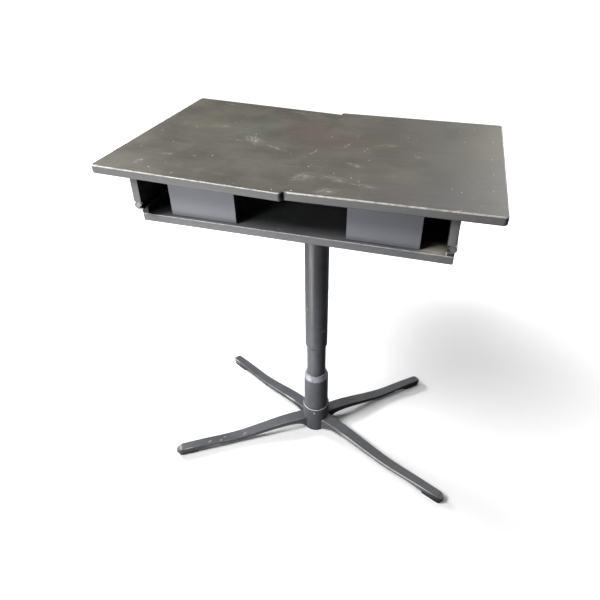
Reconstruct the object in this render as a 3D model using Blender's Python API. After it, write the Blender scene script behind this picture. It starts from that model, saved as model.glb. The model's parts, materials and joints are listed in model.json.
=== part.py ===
"""Laptop desk: a two-leaf top over an open tray, on a telescopic column and a four-legged base.

Units are metres, +Z is up, +X runs along the tray to the user's right and +Y points away
from the user. The origin is the centre of the hub's underside, at floor level.
"""

import math

import bmesh
import bpy
from mathutils import Matrix, Vector

# Fits shared by all pieces
SEAT = 0.0003  # gap between two pieces that touch
RUN = 0.0004  # gap between two pieces that move past each other

# Leaves of the top
LEAF_OVERHANG = 0.0605  # past the end panel's outer face
LEAF_DEPTH = 0.397
LEAF_THICKNESS = 0.014
LEAF_PARTING = 0.0007  # gap between the two leaves at the middle
LEAF_CORNER_RADIUS = 0.007
LEAF_ARRIS = 0.0022
SEAM_ARRIS = 0.0004  # nearly square where the leaves meet
LEFT_DIP = math.radians(1.47)  # the leaves fall a little towards the middle
RIGHT_DIP = math.radians(0.70)

# End panels, one under each leaf
PANEL_THICKNESS = 0.0135
PANEL_SETBACK = 0.0085  # from the leaf's front and rear edges
PANEL_CHAMFER = 0.002  # lower outer corner, cut away to swing past the batten
PANEL_ARRIS = 0.001

# Tray
TRAY_WIDTH = 0.515
TRAY_SETBACK = 0.025  # from the leaves' front and rear edges
TRAY_THICKNESS = 0.014
TRAY_BOTTOM = 0.6425
TRAY_ROOM = 0.0718  # from the tray's floor to the leaves, at the end panels and before they dip
TRAY_ARRIS = 0.0015
BATTEN_WIDTH = 0.0125
BATTEN_HEIGHT = 0.0135
FASCIA_THICKNESS = 0.012
FASCIA_SETBACK = 0.007  # from the tray's edge
FASCIA_INNER = 0.091  # from the middle of the tray to the fascia's near end
FASCIA_OUTER = 0.206
FASCIA_ARRIS = 0.001

# Piano hinges between battens and end panels
HINGE_SETBACK = 0.003  # from the end panel's front and rear edges
HINGE_KNUCKLES = 11
HINGE_RADIUS = 0.0065  # outside of the knuckle
HINGE_SHEET = 0.002
HINGE_INSET = 0.0045  # knuckle axis behind the end panel's outer face
KNUCKLE_GAP = 0.0008  # between neighbouring knuckles

# Column
UPPER_TUBE_RADIUS = 0.025
UPPER_TUBE_WALL = 0.0015
UPPER_TUBE_BOTTOM = 0.275
STEM_RADIUS = 0.022
STEM_WALL = 0.0025
STEM_TOP = 0.500
GUIDE_LENGTH = 0.060
GUIDE_LIP = 0.004
STEM_GUIDE_LENGTH = 0.040

# Gas spring inside the column
CYLINDER_RADIUS = 0.014
CYLINDER_WALL = 0.0025
CYLINDER_TOP = 0.420
CYLINDER_END = 0.020  # thickness of the gland at the cylinder's top
SPRING_SEAT_HEIGHT = 0.015
SPRING_SEAT_RIM = 0.012
ROD_RADIUS = 0.005
PISTON_HEIGHT = 0.012
PISTON_BOTTOM = 0.250
ROD_HEAD_HEIGHT = 0.006
VALVE_RADIUS = 0.004
VALVE_HEIGHT = 0.007
VALVE_PLAY = 0.013  # under the resting lever's tongue

# Flange that carries the tray
FLANGE_SIDE = 0.150
FLANGE_THICKNESS = 0.004
FLANGE_CORNER = 0.015
FLANGE_ARRIS = 0.0008
COLLAR_RADIUS = 0.030
COLLAR_RIM = 0.0088  # left under the lever's window

# Release lever under the tray
LEVER_PIVOT_X = 0.050
LEVER_DROP = 0.0262  # from the flange's underside to the pivot
LEVER_THICKNESS = 0.004
LEVER_WIDTH = 0.010
LEVER_TONGUE = 0.004  # the tongue ends this far past the column's axis
LEVER_REACH = 0.185
LEVER_BOSS = 0.007
LEVER_PIN_RADIUS = 0.0025
LEVER_PIN_PROUD = 0.001  # past each ear
GRIP_LENGTH = 0.055
GRIP_WIDTH = 0.020
GRIP_THICKNESS = 0.009
GRIP_ARRIS = 0.003
EAR_THICKNESS = 0.003
BRACKET_LENGTH = 0.022
WINDOW_HEIGHT = 0.022
WINDOW_WIDTH = 0.013

# Base
BASE_TURN = math.radians(5.1)  # the base stands turned a little against the tray
HUB_RADIUS = 0.0325
HUB_TOP = 0.0765
HUB_CHAMFER = 0.0012
HUB_BORE_FLOOR = 0.030
WASHER_THICKNESS = 0.003
BUSH_WALL = 0.002
LOWER_BUSH_HEIGHT = 0.036
UPPER_BUSH_HEIGHT = 0.040
SLEEVE_RADIUS = 0.0292
SLEEVE_TOP = 0.171
RING_TOP = 0.186
RING_TOP_RADIUS = 0.0245
RING_FOOT = 0.001  # straight edge under the ring's cone
RING_LIP = 0.0008

# Legs: name, reach from the column's axis, and bearing from the base's +X in degrees. Each was
# measured for itself in the photograph: the base is bent and welded, and no two legs are quite alike.
LEGS = (
    ("front_right", 0.372, -29.2),
    ("rear_right", 0.322, 35.1),
    ("rear_left", 0.327, 147.1),
    ("front_left", 0.356, -153.0),
)
LEG_WIDTH = 0.029  # at the root
TOE_WIDTH = 0.0195
LEG_ROOT_TOP = 0.0375
LEG_WAIST_TOP = 0.0195
LEG_FOOT_TOP = 0.0225
LEG_TIP_TOP = 0.0125
LEG_ROOT_DEPTH = 0.036
LEG_BAR_DEPTH = 0.0160
LEG_FOOT_DEPTH = 0.0090
LEG_ARRIS = 0.0016
LEG_POCKET = 0.002  # how deep the root sits in the hub
LEG_DROP_AT = 0.08  # shares of a leg's length: where it starts to fall,
LEG_WAIST_AT = 0.60  # where it is lowest,
LEG_FOOT_AT = 0.86  # and where it has risen to the foot
LEG_GUSSET_FADE = 0.035
LEG_PAD_SEAT = (0.72, 0.84)  # between these the underside comes down to the pad
TOE_LENGTH = 0.015
TOE_TURN = math.radians(80)  # how far round the toe the sections go before the end face
PAD_LENGTH = 0.046
PAD_WIDTH = 0.0170
PAD_HEIGHT = 0.0085
PAD_SETBACK = 0.004  # from the toe's tip
PAD_CORNER = 0.0076
PAD_ARRIS = 0.001

# Facets
VISIBLE_SIDES = 48
HIDDEN_SIDES = 32
PIN_SIDES = 20
CORNER_STEPS = 5
ARRIS_STEPS = 2
ROLL_STEPS = 12  # along a knuckle's rolled sheet
BOSS_STEPS = 10
LEG_STATIONS = 22
TOE_STATIONS = 5
SHARP_ANGLE = math.radians(35)  # edges sharper than this are eased, or shaded sharp

# Places that follow from the sizes above
TRAY_TOP = TRAY_BOTTOM + TRAY_THICKNESS
BATTEN_TOP = TRAY_TOP + SEAT + BATTEN_HEIGHT
HINGE_Z = BATTEN_TOP + SEAT + HINGE_RADIUS
PANEL_BOTTOM = HINGE_Z + HINGE_RADIUS + SEAT
LEAF_UNDERSIDE = TRAY_TOP + TRAY_ROOM
LEAF_TOP = LEAF_UNDERSIDE + LEAF_THICKNESS
TRAY_DEPTH = LEAF_DEPTH - 2 * TRAY_SETBACK
PANEL_DEPTH = LEAF_DEPTH - 2 * PANEL_SETBACK
HINGE_LENGTH = PANEL_DEPTH - 2 * HINGE_SETBACK
PANEL_OUTER = TRAY_WIDTH / 2
HINGE_X = PANEL_OUTER - HINGE_INSET
HINGE_FLAP = BATTEN_WIDTH - HINGE_INSET
UPPER_TUBE_BORE = UPPER_TUBE_RADIUS - UPPER_TUBE_WALL
STEM_BORE = STEM_RADIUS - STEM_WALL
BUSH_BORE = STEM_RADIUS + SEAT
SOCKET_BORE = BUSH_BORE + BUSH_WALL + SEAT
WASHER_TOP = HUB_BORE_FLOOR + SEAT + WASHER_THICKNESS
STEM_BOTTOM = WASHER_TOP + SEAT
FLANGE_TOP = TRAY_BOTTOM - SEAT
FLANGE_BOTTOM = FLANGE_TOP - FLANGE_THICKNESS
LEVER_HEIGHT = FLANGE_BOTTOM - LEVER_DROP
COLLAR_DEPTH = LEVER_DROP + WINDOW_HEIGHT / 2 + COLLAR_RIM
VALVE_TOP = LEVER_HEIGHT - LEVER_THICKNESS / 2 - VALVE_PLAY
ROD_HEAD_TOP = VALVE_TOP - VALVE_HEIGHT
QUARTER_TURN = (math.pi / 2, 0, 0)
LEG_ROOT = math.sqrt(HUB_RADIUS**2 - (LEG_WIDTH / 2) ** 2) - LEG_POCKET


def clear_scene():
    for obj in list(bpy.data.objects):
        bpy.data.objects.remove(obj, do_unlink=True)


def finish(name, hex_colour, roughness, metallic=0.0):
    """A material with one Principled BSDF; the colour is given as sRGB hex."""
    linear = []
    for start in (0, 2, 4):
        value = int(hex_colour[start : start + 2], 16) / 255
        linear.append(value / 12.92 if value <= 0.04045 else ((value + 0.055) / 1.055) ** 2.4)
    material = bpy.data.materials.new(name)
    material.use_nodes = True
    shader = material.node_tree.nodes["Principled BSDF"]
    shader.inputs["Base Color"].default_value = (*linear, 1.0)
    shader.inputs["Roughness"].default_value = roughness
    shader.inputs["Metallic"].default_value = metallic
    return material


def axis_empty(name, location=(0, 0, 0), rotation=(0, 0, 0), parent=None):
    """An empty on a joint's axis, which carries the pieces that move together."""
    empty = bpy.data.objects.new(name, None)
    bpy.context.scene.collection.objects.link(empty)
    empty.location = location
    empty.rotation_euler = rotation
    empty.parent = parent
    return empty


def add_piece(name, bm, material, parent=None, location=(0, 0, 0), rotation=(0, 0, 0), smooth=False):
    """Turns a bmesh into a named object in its parent's frame."""
    bmesh.ops.recalc_face_normals(bm, faces=bm.faces)
    mesh = bpy.data.meshes.new(name)
    bm.to_mesh(mesh)
    bm.free()
    if smooth:
        mesh.shade_smooth()
        mesh.set_sharp_from_angle(angle=SHARP_ANGLE)
    if material is not None:
        mesh.materials.append(material)
    obj = bpy.data.objects.new(name, mesh)
    bpy.context.scene.collection.objects.link(obj)
    obj.location = location
    obj.rotation_euler = rotation
    obj.parent = parent
    return obj


def box_mesh(low, high, bm=None):
    """A box between two corners, centred on its own middle when it starts a new mesh."""
    size = Vector(high) - Vector(low)
    middle = (Vector(high) + Vector(low)) / 2
    fresh = bm is None
    bm = bm or bmesh.new()
    place = Matrix.Diagonal((*size, 1.0))
    bmesh.ops.create_cube(bm, size=1.0, matrix=place if fresh else Matrix.Translation(middle) @ place)
    return bm


def upright_edges(bm):
    return [edge for edge in bm.edges if abs((edge.verts[0].co - edge.verts[1].co).z) > 1e-6]


def round_edges(bm, edges, radius):
    steps = CORNER_STEPS
    bmesh.ops.bevel(bm, geom=edges, offset=radius, segments=steps, profile=0.5, affect="EDGES")


def board(name, low, high, material, parent=None, arris=TRAY_ARRIS, corner=0.0):
    """A flat board with eased edges; corner rounds its upright edges as seen from above."""
    bm = box_mesh(low, high)
    if corner:
        round_edges(bm, upright_edges(bm), corner)
    middle = (Vector(high) + Vector(low)) / 2
    obj = add_piece(name, bm, material, parent, middle)
    ease = obj.modifiers.new("eased edges", "BEVEL")
    ease.width = arris
    ease.segments = 2
    ease.limit_method = "ANGLE"
    ease.angle_limit = SHARP_ANGLE
    return obj


def turned(name, profile, material, parent=None, sides=VISIBLE_SIDES):
    """A piece turned about Z from (radius, height) points. Points on the axis close a solid."""
    bm = bmesh.new()
    points = [bm.verts.new((radius, 0, height)) for radius, height in profile]
    on_axis = any(radius == 0 for radius, _ in profile)
    pairs = list(zip(points, points[1:]))
    if not on_axis:
        pairs.append((points[-1], points[0]))
    edges = [bm.edges.new(pair) for pair in pairs]
    bmesh.ops.spin(
        bm,
        geom=points + edges,
        cent=(0, 0, 0),
        axis=(0, 0, 1),
        angle=math.tau,
        steps=sides,
        use_merge=True,
    )
    bmesh.ops.remove_doubles(bm, verts=bm.verts, dist=1e-6)
    return add_piece(name, bm, material, parent, smooth=True)


def tube_profile(inner, outer, bottom, top):
    return [(outer, top), (outer, bottom), (inner, bottom), (inner, top)]


def extruded(name, outline, low_y, high_y, material, parent=None, location=(0, 0, 0), smooth=False):
    """A side outline of (x, z) points, extruded along Y."""
    bm = bmesh.new()
    face = bm.faces.new([bm.verts.new((x, low_y, z)) for x, z in outline])
    grown = bmesh.ops.extrude_face_region(bm, geom=[face])
    moved = [item for item in grown["geom"] if isinstance(item, bmesh.types.BMVert)]
    bmesh.ops.translate(bm, verts=moved, vec=(0, high_y - low_y, 0))
    return add_piece(name, bm, material, parent, location, smooth=smooth)


def pin_mesh(radius, length):
    """A plain pin along Z; its pieces are laid along Y with QUARTER_TURN."""
    bm = bmesh.new()
    size = {"radius1": radius, "radius2": radius, "depth": length}
    bmesh.ops.create_cone(bm, cap_ends=True, segments=PIN_SIDES, **size)
    return bm


def boolean(target, tool, operation):
    """Adds a Boolean to target and hides its tool."""
    modifier = target.modifiers.new(operation.lower() + " " + tool.name, "BOOLEAN")
    modifier.operation = operation
    modifier.solver = "EXACT"
    modifier.object = tool
    tool.hide_render = True
    tool.display_type = "WIRE"


def arc(centre, radius, start, end, count):
    """Points on an arc in the XZ plane, from start to end in degrees."""
    angles = [math.radians(start + (end - start) * i / count) for i in range(count + 1)]
    return [(centre[0] + radius * math.cos(a), centre[1] + radius * math.sin(a)) for a in angles]


def ease_between(value, low, high):
    """0 below low, 1 above high, and a smooth S between."""
    t = min(max((value - low) / (high - low), 0.0), 1.0)
    return t * t * (3 - 2 * t)


def leaf_mesh(low, high, seam):
    """A leaf lofted from rings of one rounded outline; seam is -1 or 1, the X side of the other leaf."""
    outline = []
    for quarter, (x, y) in enumerate(((high, high), (low, high), (low, low), (high, low))):
        corner = Vector((x[0], y[1]))
        outward = Vector((1 if x is high else -1, 1 if y is high else -1))
        for step in range(CORNER_STEPS + 1):
            turn = math.pi / 2 * (quarter + step / CORNER_STEPS)
            facing = Vector((math.cos(turn), math.sin(turn)))
            outline.append((corner + (facing - outward) * LEAF_CORNER_RADIUS, facing))
    turns = [math.pi / 2 * i / ARRIS_STEPS for i in range(ARRIS_STEPS + 1)]
    levels = [(low[2], 1, turn) for turn in turns] + [(high[2], -1, turn) for turn in reversed(turns)]
    bm = bmesh.new()
    rings = []
    for height, upward, turn in levels:
        ring = []
        for place, facing in outline:
            arris = LEAF_ARRIS + (SEAM_ARRIS - LEAF_ARRIS) * max(facing.x * seam, 0)
            x, y = place - facing * arris * (1 - math.sin(turn))
            ring.append(bm.verts.new((x, y, height + upward * arris * (1 - math.cos(turn)))))
        rings.append(ring)
    for lower, upper in zip(rings, rings[1:]):
        for k in range(len(lower)):
            following = (k + 1) % len(lower)
            bm.faces.new((lower[k], lower[following], upper[following], upper[k]))
    bm.faces.new(rings[0])
    bm.faces.new(rings[-1])
    return bm


def build_leaf(side, sign, dip, hinge_axis, board_finish):
    """A leaf and the end panel under it. They stand on the hinge's axis empty, in its frame."""
    low_z = LEAF_UNDERSIDE - HINGE_Z
    lean = (LEAF_TOP - HINGE_Z) * math.sin(dip)
    inner = -sign * (HINGE_X - LEAF_PARTING / 2 - lean) / math.cos(dip)
    outer = sign * (LEAF_OVERHANG + HINGE_INSET)
    low = (min(inner, outer), -LEAF_DEPTH / 2, low_z)
    high = (max(inner, outer), LEAF_DEPTH / 2, low_z + LEAF_THICKNESS)
    add_piece(f"{side}_leaf", leaf_mesh(low, high, -sign), board_finish, hinge_axis)
    bottom = PANEL_BOTTOM - HINGE_Z
    top = low_z - SEAT
    face = sign * HINGE_INSET
    back = face - sign * PANEL_THICKNESS
    outline = [
        (back, bottom),
        (back, top),
        (face, top),
        (face, bottom + PANEL_CHAMFER),
        (face - sign * PANEL_CHAMFER, bottom),
    ]
    panel = extruded(
        f"{side}_end_panel",
        outline,
        -PANEL_DEPTH / 2,
        PANEL_DEPTH / 2,
        board_finish,
        hinge_axis,
    )
    ease = panel.modifiers.new("eased edges", "BEVEL")
    ease.width = PANEL_ARRIS
    ease.segments = 1


def hinge_flap_outline(sign, flap_side):
    """One flap and its rolled knuckle, about the hinge axis. flap_side is -1 below, 1 above."""
    radius = HINGE_RADIUS
    bore = HINGE_RADIUS - HINGE_SHEET
    outer_roll = arc((0, 0), radius, -90, -360, ROLL_STEPS)
    inner_roll = arc((0, 0), bore, -360, -90, ROLL_STEPS)
    right_handed = [(HINGE_FLAP, -radius)] + outer_roll + inner_roll + [(HINGE_FLAP, -bore)]
    return [(-sign * x, -flap_side * z) for x, z in right_handed]


def build_hinge(side, sign, hinge_axis, tray_axis, metal):
    """A piano hinge: two rolled flaps with alternating knuckles, and their pin."""
    pitch = HINGE_LENGTH / HINGE_KNUCKLES
    start = -HINGE_LENGTH / 2
    reach = HINGE_RADIUS + RUN
    place = (sign * HINGE_X, 0, HINGE_Z)
    for flap, flap_side, first, parent in (
        ("fixed", -1, 1, tray_axis),
        ("moving", 1, 0, hinge_axis),
    ):
        at = place if flap == "fixed" else (0, 0, 0)
        leaf = extruded(
            f"{side}_hinge_{flap}_flap",
            hinge_flap_outline(sign, flap_side),
            start,
            -start,
            metal,
            parent,
            at,
            smooth=True,
        )
        notch = bmesh.new()
        for index in range(first, HINGE_KNUCKLES, 2):
            low = (-reach, start + index * pitch - KNUCKLE_GAP / 2, -reach)
            high = (reach, start + (index + 1) * pitch + KNUCKLE_GAP / 2, reach)
            box_mesh(low, high, notch)
        tool = add_piece(f"{side}_{flap}_notches", notch, None, parent, at)
        boolean(leaf, tool, "DIFFERENCE")
    pin = pin_mesh(HINGE_RADIUS - HINGE_SHEET - SEAT, HINGE_LENGTH)
    add_piece(f"{side}_hinge_pin", pin, metal, tray_axis, place, QUARTER_TURN, smooth=True)


def build_tray(tray_axis, board_finish, fascia_finish):
    """The tray's floor, its end battens and the four fascias that the leaves rest on."""
    half_width = TRAY_WIDTH / 2
    half_depth = TRAY_DEPTH / 2
    board(
        "tray_floor",
        (-half_width, -half_depth, TRAY_BOTTOM),
        (half_width, half_depth, TRAY_TOP),
        board_finish,
        tray_axis,
    )
    for side, sign, dip in (("left", -1, LEFT_DIP), ("right", 1, RIGHT_DIP)):
        ends = sorted((sign * half_width, sign * (half_width - BATTEN_WIDTH)))
        board(
            f"{side}_batten",
            (ends[0], -half_depth, TRAY_TOP + SEAT),
            (ends[1], half_depth, BATTEN_TOP),
            board_finish,
            tray_axis,
            arris=FASCIA_ARRIS,
        )
        outline = []
        for x in (FASCIA_INNER, FASCIA_OUTER):
            outline.append((sign * x, TRAY_TOP + SEAT))
        for x in (FASCIA_OUTER, FASCIA_INNER):
            outline.append((sign * x, underside_at(x, dip) - SEAT))
        face = half_depth - FASCIA_SETBACK
        for end, low_y in (("front", -face), ("rear", face - FASCIA_THICKNESS)):
            fascia = extruded(
                f"{end}_{side}_fascia",
                outline,
                low_y,
                low_y + FASCIA_THICKNESS,
                fascia_finish,
                tray_axis,
            )
            ease = fascia.modifiers.new("eased edges", "BEVEL")
            ease.width = FASCIA_ARRIS
            ease.segments = 1


def underside_at(x, dip):
    """Height of a dipped leaf's underside at a distance x from the middle."""
    inward = HINGE_X - x
    rise = LEAF_UNDERSIDE - HINGE_Z
    return HINGE_Z + rise / math.cos(dip) - inward * math.tan(dip)


def build_flange(tray_axis, metal):
    """The plate under the tray, with the collar that holds the column's upper tube."""
    half = FLANGE_SIDE / 2
    plate = board(
        "column_flange",
        (-half, -half, FLANGE_BOTTOM),
        (half, half, FLANGE_TOP),
        metal,
        tray_axis,
        arris=FLANGE_ARRIS,
        corner=FLANGE_CORNER,
    )
    inner = UPPER_TUBE_RADIUS + SEAT
    low = FLANGE_BOTTOM - COLLAR_DEPTH
    high = FLANGE_BOTTOM + FLANGE_THICKNESS / 2
    profile = tube_profile(inner, COLLAR_RADIUS, low, high)
    collar = turned("flange_collar_tool", profile, metal, tray_axis)
    boolean(plate, collar, "UNION")
    return plate


def build_column(stem_axis, tray_axis, dark_steel, plastic, bright_steel):
    """Stem, upper tube, their guides, and the gas spring inside them."""
    stem_profile = tube_profile(STEM_BORE, STEM_RADIUS, STEM_BOTTOM, STEM_TOP)
    turned("column_stem", stem_profile, dark_steel, stem_axis)
    guide = UPPER_TUBE_BORE - RUN
    turned(
        "stem_guide_bush",
        tube_profile(STEM_RADIUS + SEAT, guide, STEM_TOP - STEM_GUIDE_LENGTH, STEM_TOP),
        plastic,
        stem_axis,
        HIDDEN_SIDES,
    )
    tube = turned(
        "upper_tube",
        tube_profile(UPPER_TUBE_BORE, UPPER_TUBE_RADIUS, UPPER_TUBE_BOTTOM, FLANGE_BOTTOM - SEAT),
        dark_steel,
        tray_axis,
    )
    lip_top = UPPER_TUBE_BOTTOM - SEAT
    bore = STEM_RADIUS + RUN
    turned(
        "tube_guide_bush",
        [
            (UPPER_TUBE_BORE - SEAT, UPPER_TUBE_BOTTOM + GUIDE_LENGTH),
            (UPPER_TUBE_BORE - SEAT, lip_top),
            (UPPER_TUBE_RADIUS, lip_top),
            (UPPER_TUBE_RADIUS - GUIDE_LIP / 2, lip_top - GUIDE_LIP),
            (bore, lip_top - GUIDE_LIP),
            (bore, UPPER_TUBE_BOTTOM + GUIDE_LENGTH),
        ],
        plastic,
        tray_axis,
    )
    build_gas_spring(stem_axis, tray_axis, dark_steel, bright_steel)
    return tube


def build_gas_spring(stem_axis, tray_axis, dark_steel, bright_steel):
    """The spring's seat and cylinder stand in the stem; its rod hangs from the upper tube."""
    seat_radius = STEM_BORE - SEAT
    seat_top = STEM_BOTTOM + SPRING_SEAT_HEIGHT
    rim_bore = CYLINDER_RADIUS + SEAT
    turned(
        "spring_seat",
        [
            (0, seat_top),
            (rim_bore, seat_top),
            (rim_bore, seat_top + SPRING_SEAT_RIM),
            (seat_radius, seat_top + SPRING_SEAT_RIM),
            (seat_radius, STEM_BOTTOM),
            (0, STEM_BOTTOM),
        ],
        dark_steel,
        stem_axis,
        HIDDEN_SIDES,
    )
    cylinder_bottom = seat_top + SEAT
    cylinder_bore = CYLINDER_RADIUS - CYLINDER_WALL
    gland_bore = ROD_RADIUS + RUN
    gland_bottom = CYLINDER_TOP - CYLINDER_END
    turned(
        "gas_cylinder",
        [
            (gland_bore, CYLINDER_TOP),
            (CYLINDER_RADIUS, CYLINDER_TOP),
            (CYLINDER_RADIUS, cylinder_bottom),
            (cylinder_bore, cylinder_bottom),
            (cylinder_bore, gland_bottom),
            (gland_bore, gland_bottom),
        ],
        dark_steel,
        stem_axis,
        HIDDEN_SIDES,
    )
    head_radius = UPPER_TUBE_BORE - SEAT
    piston_top = PISTON_BOTTOM + PISTON_HEIGHT
    turned(
        "gas_rod",
        [
            (0, VALVE_TOP),
            (VALVE_RADIUS, VALVE_TOP),
            (VALVE_RADIUS, ROD_HEAD_TOP),
            (head_radius, ROD_HEAD_TOP),
            (head_radius, ROD_HEAD_TOP - ROD_HEAD_HEIGHT),
            (ROD_RADIUS, ROD_HEAD_TOP - ROD_HEAD_HEIGHT),
            (ROD_RADIUS, piston_top),
            (cylinder_bore - RUN, piston_top),
            (cylinder_bore - RUN, PISTON_BOTTOM),
            (0, PISTON_BOTTOM),
        ],
        bright_steel,
        tray_axis,
        HIDDEN_SIDES,
    )


def build_release(tray_axis, lever_axis, flange, tube, metal, plastic):
    """The lever under the tray, its bracket and pin, and the window its tongue goes through."""
    depth = COLLAR_RADIUS + SEAT
    opening = box_mesh((0, -WINDOW_WIDTH / 2, 0), (depth, WINDOW_WIDTH / 2, WINDOW_HEIGHT))
    place = (depth / 2 + LEVER_TONGUE, 0, LEVER_HEIGHT)
    window = add_piece("lever_window", opening, None, tray_axis, place)
    boolean(flange, window, "DIFFERENCE")
    boolean(tube, window, "DIFFERENCE")
    hole = LEVER_PIN_RADIUS + SEAT
    half = LEVER_THICKNESS / 2
    spread = math.degrees(math.asin(half / LEVER_BOSS))
    outline = [(-LEVER_PIVOT_X - LEVER_TONGUE, -half)]
    outline += arc((0, 0), LEVER_BOSS, 180 + spread, 360 - spread, BOSS_STEPS)
    outline += [(LEVER_REACH - LEVER_PIVOT_X, -half), (LEVER_REACH - LEVER_PIVOT_X, half)]
    outline += arc((0, 0), LEVER_BOSS, spread, 180 - spread, BOSS_STEPS)
    outline += [(-LEVER_PIVOT_X - LEVER_TONGUE, half)]
    lever = extruded("release_lever", outline, -LEVER_WIDTH / 2, LEVER_WIDTH / 2, metal, lever_axis)
    drill = pin_mesh(hole, BRACKET_LENGTH * 2)
    bore = add_piece("lever_bore", drill, None, lever_axis, rotation=QUARTER_TURN)
    boolean(lever, bore, "DIFFERENCE")
    build_grip(lever_axis, plastic)
    build_lever_bracket(tray_axis, bore, metal)


def build_grip(lever_axis, plastic):
    """A moulded grip pushed over the lever's end."""
    end = LEVER_REACH - LEVER_PIVOT_X
    start = end - GRIP_LENGTH
    grip = board(
        "lever_grip",
        (start, -GRIP_WIDTH / 2, -GRIP_THICKNESS / 2),
        (end + GRIP_THICKNESS / 2, GRIP_WIDTH / 2, GRIP_THICKNESS / 2),
        plastic,
        lever_axis,
        arris=GRIP_ARRIS,
    )
    half_width = LEVER_WIDTH / 2 + SEAT
    half = LEVER_THICKNESS / 2 + SEAT
    slot = add_piece(
        "grip_slot",
        box_mesh((start - GRIP_LENGTH, -half_width, -half), (end + SEAT, half_width, half)),
        None,
        lever_axis,
        ((start - GRIP_LENGTH + end + SEAT) / 2, 0, 0),
    )
    boolean(grip, slot, "DIFFERENCE")


def build_lever_bracket(tray_axis, bore, metal):
    """Two ears folded down from a plate under the flange, and the pin across them."""
    gap = LEVER_WIDTH / 2 + RUN
    outer = gap + EAR_THICKNESS
    top = FLANGE_BOTTOM - SEAT
    plate_bottom = top - EAR_THICKNESS
    low = LEVER_HEIGHT - LEVER_BOSS
    outline = [(-outer, low), (-outer, top), (outer, top), (outer, low)]
    outline += [(gap, low), (gap, plate_bottom), (-gap, plate_bottom), (-gap, low)]
    bracket = extruded(
        "lever_bracket",
        outline,
        -BRACKET_LENGTH / 2,
        BRACKET_LENGTH / 2,
        metal,
        tray_axis,
        (LEVER_PIVOT_X, 0, 0),
    )
    bracket.rotation_euler = (0, 0, math.pi / 2)
    boolean(bracket, bore, "DIFFERENCE")
    pin = pin_mesh(LEVER_PIN_RADIUS, 2 * (outer + LEVER_PIN_PROUD))
    place = (LEVER_PIVOT_X, 0, LEVER_HEIGHT)
    add_piece("lever_pin", pin, metal, tray_axis, place, QUARTER_TURN, smooth=True)


def leg_heights(share):
    """Top and underside of a leg at a share of its length: level, a drop, a waist, then the foot."""
    drop = ease_between(share, LEG_DROP_AT, LEG_WAIST_AT)
    rise = ease_between(share, LEG_WAIST_AT, LEG_FOOT_AT)
    top = LEG_ROOT_TOP + (LEG_WAIST_TOP - LEG_ROOT_TOP) * drop + (LEG_FOOT_TOP - LEG_WAIST_TOP) * rise
    gusset = (LEG_ROOT_DEPTH - LEG_BAR_DEPTH) * math.exp(-share / LEG_GUSSET_FADE)
    taper = min(share / LEG_WAIST_AT, 1.0)
    depth = LEG_BAR_DEPTH + (LEG_FOOT_DEPTH - LEG_BAR_DEPTH) * taper + gusset
    foot = ease_between(share, *LEG_PAD_SEAT)
    under = top - depth
    return top, under + (PAD_HEIGHT + SEAT - under) * foot


def leg_section(distance, half_width, top, under):
    """A cross-section of the leg: flat top with rounded arrises, small chamfers below."""
    arris = min(LEG_ARRIS, half_width / 2, (top - under) / 3)
    turn = arris * (1 - math.sqrt(0.5))
    right = [
        (half_width - arris / 2, under),
        (half_width, under + arris / 2),
        (half_width, top - arris),
        (half_width - turn, top - turn),
        (half_width - arris, top),
    ]
    left = [(-y, z) for y, z in reversed(right)]
    return [(distance, y, z) for y, z in right + left]


def build_leg(name, reach, angle, base_axis, metal):
    """An S-curved bar from its squared root in the hub to a round toe."""
    stations = []
    bar_end = reach - TOE_LENGTH
    for index in range(LEG_STATIONS + 1):
        stations.append((LEG_ROOT + (bar_end - LEG_ROOT) * index / LEG_STATIONS, 1.0, 0.0))
    for index in range(1, TOE_STATIONS + 1):
        turn = TOE_TURN * index / TOE_STATIONS
        stations.append((bar_end + TOE_LENGTH * math.sin(turn), math.cos(turn), 1 - math.cos(turn)))
    bm = bmesh.new()
    loops = []
    for distance, width_share, toe_share in stations:
        share = (distance - LEG_ROOT) / (reach - LEG_ROOT)
        top, under = leg_heights(share)
        top += (LEG_TIP_TOP - LEG_FOOT_TOP) * toe_share
        width = LEG_WIDTH + (TOE_WIDTH - LEG_WIDTH) * share
        section = leg_section(distance, width / 2 * width_share, top, under)
        loops.append([bm.verts.new(point) for point in section])
    for near, far in zip(loops, loops[1:]):
        for k in range(len(near)):
            following = (k + 1) % len(near)
            bm.faces.new((near[k], near[following], far[following], far[k]))
    bm.faces.new(loops[0])
    bm.faces.new(loops[-1])
    add_piece(name, bm, metal, base_axis, rotation=(0, 0, angle), smooth=True)


def build_pad(name, reach, angle, base_axis, rubber):
    """A glide pad under the toe, round at its outer end."""
    bm = box_mesh((0, -PAD_WIDTH / 2, 0), (PAD_LENGTH, PAD_WIDTH / 2, PAD_HEIGHT))
    round_edges(bm, [edge for edge in upright_edges(bm) if edge.verts[0].co.x > 0], PAD_CORNER)
    middle = reach - PAD_LENGTH / 2 - PAD_SETBACK
    place = (middle * math.cos(angle), middle * math.sin(angle), PAD_HEIGHT / 2)
    pad = add_piece(name, bm, rubber, base_axis, place, (0, 0, angle))
    ease = pad.modifiers.new("eased edges", "BEVEL")
    ease.width = PAD_ARRIS
    ease.segments = 1
    ease.limit_method = "ANGLE"
    ease.angle_limit = SHARP_ANGLE


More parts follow.
